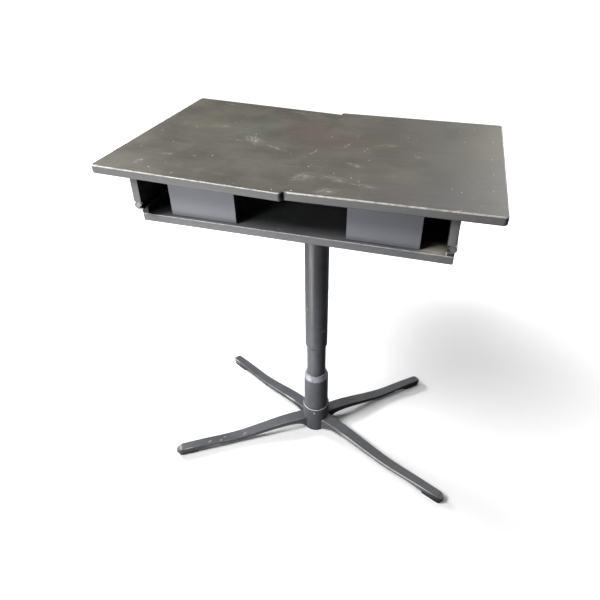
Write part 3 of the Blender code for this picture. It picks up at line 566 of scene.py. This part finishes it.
# Each tint has its middle, its size, its turn in degrees, its hue and its strength.
TOP_TINTS = (
    ((-41, 76, LEAF_LEVEL), (150, 190, THROUGH), 25, BROWN, 0.60),
    ((30, 20, LEAF_LEVEL), (160, 120, THROUGH), 20, BROWN, 0.60),
    ((148, 154, LEAF_LEVEL), (40, 26, THROUGH), 0, BROWN, 0.55),
    ((-125, 60, LEAF_LEVEL), (90, 230, THROUGH), -20, "#50564f", 0.55),
    ((-230, 60, LEAF_LEVEL), (150, 170, THROUGH), 0, "#504d3e", 0.45),
    ((120, 30, LEAF_LEVEL), (120, 60, THROUGH), 15, "#55533f", 0.50),
    ((286, 90, LEAF_LEVEL), (140, 260, THROUGH), 0, "#5d5947", 0.60),
    ((200, -160, LEAF_LEVEL), (260, 110, THROUGH), 0, "#4e4b4d", 0.60),
)
# Each scuff has its middle, its size, its turn in degrees and its strength.
TOP_SCUFFS = (
    ((-114, -6, LEAF_LEVEL), (66, 34, THROUGH), -42, 0.85),
    ((-66, -30, LEAF_LEVEL), (60, 16, THROUGH), -24, 0.65),
    ((-147, -15, LEAF_LEVEL), (60, 10, THROUGH), 4, 0.55),
    ((-197, 45, LEAF_LEVEL), (60, 24, THROUGH), 20, 0.45),
    ((-255, -156, LEAF_LEVEL), (36, 16, THROUGH), 88, 0.75),
    ((-225, -115, LEAF_LEVEL), (34, 18, THROUGH), 30, 0.45),
    ((-238, 178, LEAF_LEVEL), (40, 14, THROUGH), -10, 0.50),
    ((-80, 174, LEAF_LEVEL), (66, 12, THROUGH), -10, 0.50),
    ((3, -30, LEAF_LEVEL), (40, 8, THROUGH), 82, 0.65),
    ((51, 14, LEAF_LEVEL), (38, 9, THROUGH), 78, 0.75),
    ((14, -136, LEAF_LEVEL), (56, 36, THROUGH), 40, 0.75),
    ((62, -180, LEAF_LEVEL), (48, 28, THROUGH), 30, 0.85),
    ((68, -136, LEAF_LEVEL), (76, 26, THROUGH), -18, 0.60),
    ((115, -148, LEAF_LEVEL), (76, 18, THROUGH), -4, 0.55),
    ((84, -74, LEAF_LEVEL), (52, 18, THROUGH), -22, 0.70),
    ((122, 30, LEAF_LEVEL), (76, 22, THROUGH), 18, 0.40),
    ((177, -11, LEAF_LEVEL), (24, 9, THROUGH), -20, 0.65),
)
# Each stain, and each patch of painted shade, has its middle, its size, its colour, and whether it is square
# and crisp.
TOP_STAINS_AND_SHADE = (
    ((0, 0, LEAF_LEVEL), (2.6, 420, THROUGH), "#4d4a44", True),
    # the front notch of the joint: painted shade
    ((0, -198, 734), (17, 26, 40), "#0b0b0b", False),
    # low on the front of the right end panel: painted shade
    ((258.5, -190, 704), (8, 8, 46), "#19191b", False),
)
# the pale colour serves wear, and the painted highlight on the upper arrises
TOP_COLOURS = {"face": "#4b4842", "cloud": "#56534b", "edge": "#6d6d6e", "rubbed_and_highlight": "#c9c8c4"}

finishes = {
    "top_board": lacquered_board(
        "dark grey sprayed lacquer, worn", TOP_COLOURS, BOARD_ROUGHNESS, TOP_TINTS, TOP_SCUFFS, TOP_STAINS_AND_SHADE
    )
}
print(len(TOP_SCUFFS), "scuffs,", len(TOP_TINTS), "tints and", len(TOP_STAINS_AND_SHADE), "stains on the top")

# %% [markdown]
# ## The tray and the fascias
# The tray is a cooler grey, with a pale patch on the floor of its right end and dark front ends on its
# battens. A pale line down the right batten's inner front edge is a painted highlight. The fascias are cooler
# still and clean, because nothing is laid on them. They show as plain light bands between the dark openings.

# %% Tray and fascias
TRAY_LEVEL = 657
BATTEN_LEVEL = 663.5
# a pale patch on the floor of the tray's right opening
TRAY_PALE_PATCH = (((226, -158, TRAY_LEVEL), (70, 64, THROUGH), 0, "#9f9a90", 1.0),)
TRAY_SCUFFS = (((228, -166, TRAY_LEVEL), (60, 20, THROUGH), 0, 0.95),)
TRAY_MARKS_AND_HIGHLIGHT = (
    # the battens' front ends are painted darker, the left one near black
    ((-251, -174, BATTEN_LEVEL), (14, 6, 12.4), "#0d0d0e", True),
    ((251, -174, BATTEN_LEVEL), (14, 6, 12.4), "#37373a", True),
    # a pale line on the right batten's inner front edge: painted highlight
    ((245.4, -172, BATTEN_LEVEL), (2.4, 8, 13), "#b5b1a8", True),
)
TRAY_COLOURS = {"face": "#505052", "cloud": "#58585a", "edge": "#6d6d70", "rubbed_and_highlight": "#c0c0be"}
FASCIA_COLOURS = {"face": "#7b7c81", "cloud": "#818287", "edge": "#7f8087", "rubbed_and_highlight": "#e6e6e6"}

finishes["tray_board"] = lacquered_board(
    "grey sprayed lacquer", TRAY_COLOURS, BOARD_ROUGHNESS, TRAY_PALE_PATCH, TRAY_SCUFFS, TRAY_MARKS_AND_HIGHLIGHT
)
finishes["fascia_board"] = lacquered_board("cool grey sprayed lacquer", FASCIA_COLOURS, BOARD_ROUGHNESS)
for slot in ("tray_board", "fascia_board"):
    print(finishes[slot].name, "has", len(finishes[slot].node_tree.nodes), "nodes")

# %% [markdown]
# ## Where the paint is rubbed, and painted highlights
# The hub, the legs and the tubes are painted steel. Feet have rubbed the legs' arrises down to the steel in
# some stretches. These stretches are also a painted highlight: they only show where the surface looks
# forward, and the one round the hub's lip is a painted highlight alone. A thin pale trace, partly wear and
# partly painted highlight, runs along all the other upper arrises.

# %% Rubbed arrises
# Each stretch of wear and painted highlight has its middle, its size, its turn in degrees, and how much of
# the side is rubbed as well.
RUBBED_AND_HIGHLIT_STRETCHES = (
    ((190, -86, 25), (360, 70, 70), -24.1, 0.35),
    ((-272, -190, 18), (56, 20, 40), 36, 0.0),
    ((-285, 146, 15), (70, 50, 40), -28, 0.2),
    ((-75, 36, 35), (60, 40, 40), -28, 0.1),
    # the hub's lip: a painted highlight only
    ((0, -16, 76), (90, 76, 12), 0, 0.0),
)
FRONT_STEP = {"From Min": -0.10, "From Max": -0.35}
TRACE_RANGE = {"From Min": 0.35, "From Max": 0.6, "To Min": 0.1, "To Max": 0.25}
STRETCH_RIM = 0.4


def rubbed_and_highlit_arrises(tree, place, tone):
    """Upper arrises: thin everywhere, bare where the stretches look forward, with some side; wear and painted
    highlight.
    """
    ahead = add_node(tree, "SeparateXYZ", {"Vector": place.outputs["Normal"]}).outputs["Y"]
    front = add_node(tree, "MapRange", {"Value": ahead, **FRONT_STEP}, **SOFT)
    edge = upper_arris(tree, place.outputs["Normal"])
    thin = add_node(tree, "MapRange", {"Value": tone, **TRACE_RANGE})
    bare = add_node(tree, "Math", {0: edge, 1: thin}, operation="MULTIPLY")
    for centre, size, turn, below in RUBBED_AND_HIGHLIT_STRETCHES:
        fade = mark(tree, place.outputs["Object"], centre, size, turn)[1]
        full = add_node(tree, "MapRange", {"Value": fade, "From Max": STRETCH_RIM}, **SOFT)
        rubbed_and_highlight = add_node(tree, "Math", {0: full, 1: front}, operation="MULTIPLY")
        shown = add_node(tree, "Math", {0: edge, 1: below}, operation="MAXIMUM")
        rubbed_and_highlight = add_node(tree, "Math", {0: rubbed_and_highlight, 1: shown}, operation="MULTIPLY")
        bare = add_node(tree, "Math", {0: bare, 1: rubbed_and_highlight}, operation="MAXIMUM")
    return bare


print(len(RUBBED_AND_HIGHLIT_STRETCHES), "rubbed stretches")

# %% [markdown]
# ## Chips and scrapes
# Here and there the paint has chipped. Shoes have left pale scrapes on top of one leg, and a chip on the hub
# and two ticks on the tube have their places from the photograph. The small chips are drawn a little larger
# than life, so that they show.

# %% Chips and scrapes
CHIP_SPACING = 14
CHIP_SIZE = 1.3
CHIP_SHARE = 0.3
HUB_CHIP = ((3.6, -32.3, 64.2), (4.0, 4.0, 6.4))
HUB_CHIP_RIM = {"From Min": 0.1, "From Max": 0.3}
# Each scrape has its middle, its size, its turn in degrees and its strength.
SCRAPES = (
    ((-231, -149, 20), (15, 5, 40), 60, 0.50),
    ((-207, -137, 20), (10, 6, 40), 75, 0.50),
    ((-202, -126, 20), (11, 5, 40), 30, 0.35),
    ((-157, -104, 20), (18, 7, 40), 60, 0.25),
    ((19.5, -15.6, 326), (14, 14, 7), 0, 0.30),
    ((-15.1, -19.9, 385), (6, 6, 9), 0, 0.40),
)


def chips_and_scrapes(tree, spot):
    """Small chips everywhere, the large one on the hub, and the scrapes on a leg and the tube."""
    bare = specks(tree, spot, CHIP_SPACING, CHIP_SIZE, CHIP_SHARE)
    chip = mark(tree, spot, *HUB_CHIP)[1]
    chip = add_node(tree, "MapRange", {"Value": chip, **HUB_CHIP_RIM})
    bare = add_node(tree, "Math", {0: bare, 1: chip}, operation="MAXIMUM")
    for centre, size, turn, strength in SCRAPES:
        fade = mark(tree, spot, centre, size, turn)[1]
        scraped = add_node(tree, "Math", {0: fade, 1: strength}, operation="MULTIPLY")
        bare = add_node(tree, "Math", {0: bare, 1: scraped}, operation="MAXIMUM")
    return bare


print(len(SCRAPES), "scrapes, and chips of", CHIP_SIZE, "mm")

# %% [markdown]
# ## Satin paint on steel
# The steel was sprayed with a satin dark grey paint and stoved. That gives a dark body with a broad soft
# highlight down each tube, the faint ripple of spray, and bright spots where the paint is gone. Along the
# arrises the bright steel is also a painted highlight. Chips sit a little lower than the paint, so they are
# taken off the relief.

# %% Painted steel
BARE_STEEL_AND_HIGHLIGHT = "#d2d2cf"
PAINT_IOR = 1.5
PAINT_UNEVEN = 0.10
DRIFT_SIZE = 45
DRIFT_STEP = {"From Min": 0.36, "From Max": 0.68}
PAINT_RIPPLE = 1.6
PAINT_RELIEF = {"Strength": 0.12, "Distance": 0.2 * MM}


def painted_steel(name, body, drift, roughness):
    """Stoved satin paint: drifting tone, spray ripple, chips, and arrises of bare steel and painted
    highlight.
    """
    material, tree, shader, place = new_material(name)
    spot = place.outputs["Object"]
    slow = {"Vector": spot, "Scale": per_mm(DRIFT_SIZE), "Detail": 5.0, "Roughness": BROKEN_UP}
    tone = add_node(tree, "TexNoise", slow)
    drifted = add_node(tree, "MapRange", {"Value": tone, **DRIFT_STEP}, **SOFT)
    colour = add_node(tree, "Mix", {"Factor": drifted, "A": body, "B": drift}, **MIXED)
    rubbed_and_highlight = rubbed_and_highlit_arrises(tree, place, tone)
    # the arrises bring a painted highlight as well as bare steel
    bare = add_node(tree, "Math", {0: rubbed_and_highlight, 1: chips_and_scrapes(tree, spot)}, operation="MAXIMUM")
    colour = add_node(tree, "Mix", {"Factor": bare, "A": colour, "B": BARE_STEEL_AND_HIGHLIGHT}, **MIXED)
    sheen = {"To Min": roughness, "To Max": roughness + PAINT_UNEVEN}
    rough = add_node(tree, "MapRange", {"Value": tone, **NOISE_RANGE, **sheen})
    ripple = add_node(tree, "TexNoise", {"Vector": spot, "Scale": per_mm(PAINT_RIPPLE), "Detail": 2.0})
    dented = add_node(tree, "Math", {0: ripple, 1: bare}, operation="SUBTRACT")
    bump = add_node(tree, "Bump", {"Height": dented, **PAINT_RELIEF})
    shader.inputs["IOR"].default_value = PAINT_IOR
    finish_shader(tree, shader, colour, rough, bump)
    return material


finishes["coated_steel"] = painted_steel("satin dark grey stoved paint on steel", "#4b4c50", "#545559", 0.32)
print("painted steel has", len(finishes["coated_steel"].node_tree.nodes), "nodes")

# %% [markdown]
# ## Bare metals
# The ring on the base sleeve is turned aluminium: the tool leaves fine rings that spread the highlight up
# and down. The hinges are rolled steel strip with a dull skin that is brighter where it rubs. The rod of
# the gas spring is hard chrome, ground and polished, so nearly a mirror. One function serves all three:
# a metal's colour is its reflection, so its base colour is bright, it is fully metallic, and its IOR stays
# at Blender's default. Tool marks are finer than a pixel, so the grooves are drawn coarse enough to show.

# %% Metals
TARNISH_SIZE = 14
TARNISH_STEP = {"From Min": 0.45, "From Max": 0.72}
TARNISH_DULLING = 1.6
SKIN_STEP = {"From Min": 0.0, "From Max": -0.08}
WAVE_REPEAT = math.tau / 20  # Blender's wave repeats every 2 pi / 20 units at scale 1
GROOVE_RELIEF = {"Strength": 0.15, "Distance": 0.05 * MM}


def bare_metal(name, bright, dull, roughness, groove, direction, inside_shade=None):
    """A metal with cloudy tarnish and fine tool marks across one axis, groove millimetres apart."""
    material, tree, shader, place = new_material(name)
    spot = place.outputs["Object"]
    cloudy = {"Vector": spot, "Scale": per_mm(TARNISH_SIZE), "Detail": 5.0, "Roughness": BROKEN_UP}
    tarnish = add_node(tree, "TexNoise", cloudy)
    dulled = add_node(tree, "MapRange", {"Value": tarnish, **TARNISH_STEP})
    colour = add_node(tree, "Mix", {"Factor": dulled, "A": bright, "B": dull}, **MIXED)
    if inside_shade:
        # Where it looks into the tray, the steel is painted dark, as painted shade.
        faces = add_node(tree, "SeparateXYZ", {"Vector": place.outputs["Normal"]}).outputs["X"]
        across = add_node(tree, "SeparateXYZ", {"Vector": spot}).outputs["X"]
        outward = add_node(tree, "Math", {0: faces, 1: across}, operation="MULTIPLY")
        inside = add_node(tree, "MapRange", {"Value": outward, **SKIN_STEP}, **SOFT)
        colour = add_node(tree, "Mix", {"Factor": inside, "A": colour, "B": inside_shade}, **MIXED)
    sheen = {"To Min": roughness, "To Max": roughness * TARNISH_DULLING}
    rough = add_node(tree, "MapRange", {"Value": tarnish, **NOISE_RANGE, **sheen})
    grooves = {"Vector": spot, "Scale": WAVE_REPEAT * per_mm(groove), "Distortion": 0.6, "Detail": 1.0}
    marks = add_node(tree, "TexWave", grooves, bands_direction=direction)
    bump = add_node(tree, "Bump", {"Height": marks, **GROOVE_RELIEF})
    shader.inputs["Metallic"].default_value = 1.0
    finish_shader(tree, shader, colour, rough, bump)
    return material


metals = {
    "collar_metal": bare_metal("turned aluminium", "#aeaeb3", "#9c9ca2", 0.68, 0.7, "Z"),
    # the hinges' last colour is painted shade on faces that look into the tray
    "hinge_steel": bare_metal("rolled steel strip", "#b4b3b0", "#8f8d87", 0.34, 0.9, "Y", "#201d1a"),
    "rod_chrome": bare_metal("ground hard chrome", "#dcdcdc", "#cfcfd2", 0.07, 0.4, "Z"),
}
finishes.update(metals)
print("bare metals:", [metal.name for metal in metals.values()])

# %% [markdown]
# ## Plastic and rubber
# The bushes and the lever's grip are moulded black plastic with the fine spark-eroded grain of the mould,
# which breaks up their highlights. The pads are moulded dark rubber: duller, dustier, with a coarser grain.
# Both get the same short function, a mottled dark body with a grain in relief. The grain is drawn coarser
# than life, so that it shows.

# %% Mouldings
MOULDING_IOR = 1.5
DUST_SIZE = 18
DUST_STEP = {"From Min": 0.48, "From Max": 0.75}
DUST_DULLING = 0.12
GRAIN_HEIGHT = 0.1 * MM


def moulding(name, body, dust, roughness, grain, relief):
    """A moulded surface: dusty body colour and a grain of this many millimetres."""
    material, tree, shader, place = new_material(name)
    spot = place.outputs["Object"]
    settled = {"Vector": spot, "Scale": per_mm(DUST_SIZE), "Detail": 6.0, "Roughness": BROKEN_UP}
    dusting = add_node(tree, "TexNoise", settled)
    dusty = add_node(tree, "MapRange", {"Value": dusting, **DUST_STEP})
    colour = add_node(tree, "Mix", {"Factor": dusty, "A": body, "B": dust}, **MIXED)
    sheen = {"To Min": roughness, "To Max": roughness + DUST_DULLING}
    rough = add_node(tree, "MapRange", {"Value": dusting, **NOISE_RANGE, **sheen})
    pebbles = add_node(tree, "TexVoronoi", {"Vector": spot, "Scale": per_mm(grain)})
    bump = add_node(tree, "Bump", {"Height": pebbles, "Strength": relief, "Distance": GRAIN_HEIGHT})
    shader.inputs["IOR"].default_value = MOULDING_IOR
    finish_shader(tree, shader, colour, rough, bump)
    return material


mouldings = {
    "black_plastic": moulding("spark-grained black plastic", "#1b1b1d", "#2c2c2e", 0.46, 0.6, 0.35),
    "dark_rubber": moulding("moulded dark rubber", "#3f3f41", "#575654", 0.72, 0.9, 0.5),
}
finishes.update(mouldings)
print("mouldings:", [moulded.name for moulded in mouldings.values()])

# %% [markdown]
# ## Dressing the nodes
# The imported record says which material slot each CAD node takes, so the finishes go on by that list, and no
# node can be forgotten.

# %% Assign the finishes
for subpart in frame["record"]["subparts"]:
    slots = nodes[subpart["node"]].data.materials
    slots.clear()
    slots.append(finishes[subpart["material_slot"]])

# %% [markdown]
# ## The cross in a screw head
# Four pan-head screws hold the column's flange to the tray, and countersunk ones come up through the tray
# floor into the fascias and the battens. Each head is a turned dome with a cross recess. Cutting the cross
# out with a boolean would leave ragged faces. Instead the head is built in rings of points that share the
# same angles, and the recess's outline is one of those rings.

# %% Cross recess
RECESS_REACH = 0.62
RECESS_HALF = 0.17


def cross_ring():
    """Points of a cross outline of unit head radius, four arms, with each edge's middle as well."""
    corner = math.atan2(RECESS_HALF, RECESS_REACH)
    tip = math.hypot(RECESS_REACH, RECESS_HALF)
    crotch = RECESS_HALF * math.sqrt(2)
    points = []
    for quarter in range(4):
        for angle, radius in ((corner, tip), (math.pi / 4, crotch), (math.pi / 2 - corner, tip)):
            turn = quarter * math.pi / 2 + angle
            points.append(Vector((radius * math.cos(turn), radius * math.sin(turn))))
    return [p for a, b in zip(points, points[1:] + points[:1]) for p in (a, (a + b) / 2)]


print("the cross has", len(cross_ring()), "points")

# %% [markdown]
# ## A screw head
# A head is six rings, joined by quads: the foot, the wall, the shoulder, the lip of the recess, a step just
# below the lip, and the recess's floor. A pan head is domed, so its shoulder is drawn in and lower. A
# countersunk head is nearly flat, and its recess goes in past the surface of the board.

# %% Screw head
RECESS_LIP = 1.06
RECESS_STEP = 0.9
RECESS_TAPER = 0.72
PAN_HEAD = {"wall": 0.35, "shoulder": 0.86, "rise": 0.8, "recess": 0.25}
SUNK_HEAD = {"wall": 0.6, "shoulder": 0.96, "rise": 1.0, "recess": -0.1}


def screw_head(shape, centre, radius, height, profile):
    """Adds one head to a bmesh, facing down; the profile's numbers are shares of its radius and height."""
    cross = [(p.x, p.y) for p in cross_ring()]
    circle = [(math.cos(a), math.sin(a)) for a in (math.atan2(y, x) for x, y in cross)]
    rings = []
    for outline, share, level in (
        (circle, 1.0, 0.0),
        (circle, 1.0, profile["wall"]),
        (circle, profile["shoulder"], profile["rise"]),
        (cross, RECESS_LIP, 1.0),
        (cross, 1.0, RECESS_STEP),
        (cross, RECESS_TAPER, profile["recess"]),
    ):
        spots = [(x * share * radius, y * share * radius, -height * level) for x, y in outline]
        rings.append([shape.verts.new(centre + Vector(spot)) for spot in spots])
    count = len(cross)
    for inner, outer in zip(rings[1:], rings):
        for i in range(count):
            shape.faces.new((outer[i], inner[i], inner[(i + 1) % count], outer[(i + 1) % count]))
    shape.faces.new(rings[-1])
    shape.faces.new(list(reversed(rings[0])))


print("a pan head's shoulder is", PAN_HEAD["shoulder"], "of its radius, a sunk one's", SUNK_HEAD["shoulder"])

# %% [markdown]
# ## One piece for each kind of screw
# All the heads of a kind go into one mesh, so the desk gets two pieces and not eighteen. A piece that is new
# has to say which body it moves with, here the tray, and which of the record's materials it takes.

# %% Screw sets
def screw_set(name, places, radius, height, profile):
    """One piece made of all the heads of a kind; it rides on the tray."""
    shape = bmesh.new()
    for place in places:
        screw_head(shape, Vector(place), radius, height, profile)
    bmesh.ops.recalc_face_normals(shape, faces=shape.faces)
    mesh = bpy.data.meshes.new(name)
    shape.to_mesh(mesh)
    shape.free()
    mesh.materials.append(finishes["hinge_steel"])
    piece = bpy.data.objects.new(name, mesh)
    bpy.context.scene.collection.objects.link(piece)
    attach(piece, "tray")
    print(name, len(places), "heads,", len(mesh.polygons), "faces")


FLANGE_INSET = 0.016
FLANGE_SHEET = 0.004
PAN_RADIUS = 5.0 * MM
PAN_HEIGHT = 2.8 * MM

flange_low, flange_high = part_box("column_flange")
corners = [
    (x, y, flange_high.z - FLANGE_SHEET)
    for x in (flange_low.x + FLANGE_INSET, flange_high.x - FLANGE_INSET)
    for y in (flange_low.y + FLANGE_INSET, flange_high.y - FLANGE_INSET)
]
screw_set("flange_screws", corners, PAN_RADIUS, PAN_HEIGHT, PAN_HEAD)

# %% [markdown]
# ## Screws through the tray floor
# Each fascia is held by two screws and each batten by three. Their places are shares of the piece's own
# length, measured from its box, so they stay under the wood that they hold.

# %% Floor screws
FASCIA_SHARES = (0.2, 0.8)
BATTEN_SHARES = (0.12, 0.5, 0.88)
SUNK_RADIUS = 3.8 * MM
SUNK_HEIGHT = 0.4 * MM

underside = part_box("tray_floor")[0].z
sunk = []
for name in ("front_left_fascia", "front_right_fascia", "rear_left_fascia", "rear_right_fascia"):
    low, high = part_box(name)
    middle = (low.y + high.y) / 2
    sunk += [(low.x + (high.x - low.x) * share, middle, underside) for share in FASCIA_SHARES]
for name in ("left_batten", "right_batten"):
    low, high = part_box(name)
    middle = (low.x + high.x) / 2
    sunk += [(middle, low.y + (high.y - low.y) * share, underside) for share in BATTEN_SHARES]
screw_set("floor_screws", sunk, SUNK_RADIUS, SUNK_HEIGHT, SUNK_HEAD)

# %% [markdown]
# ## Closing
# Last, the view layer is brought up to date.

# %% Closing
bpy.context.view_layer.update()
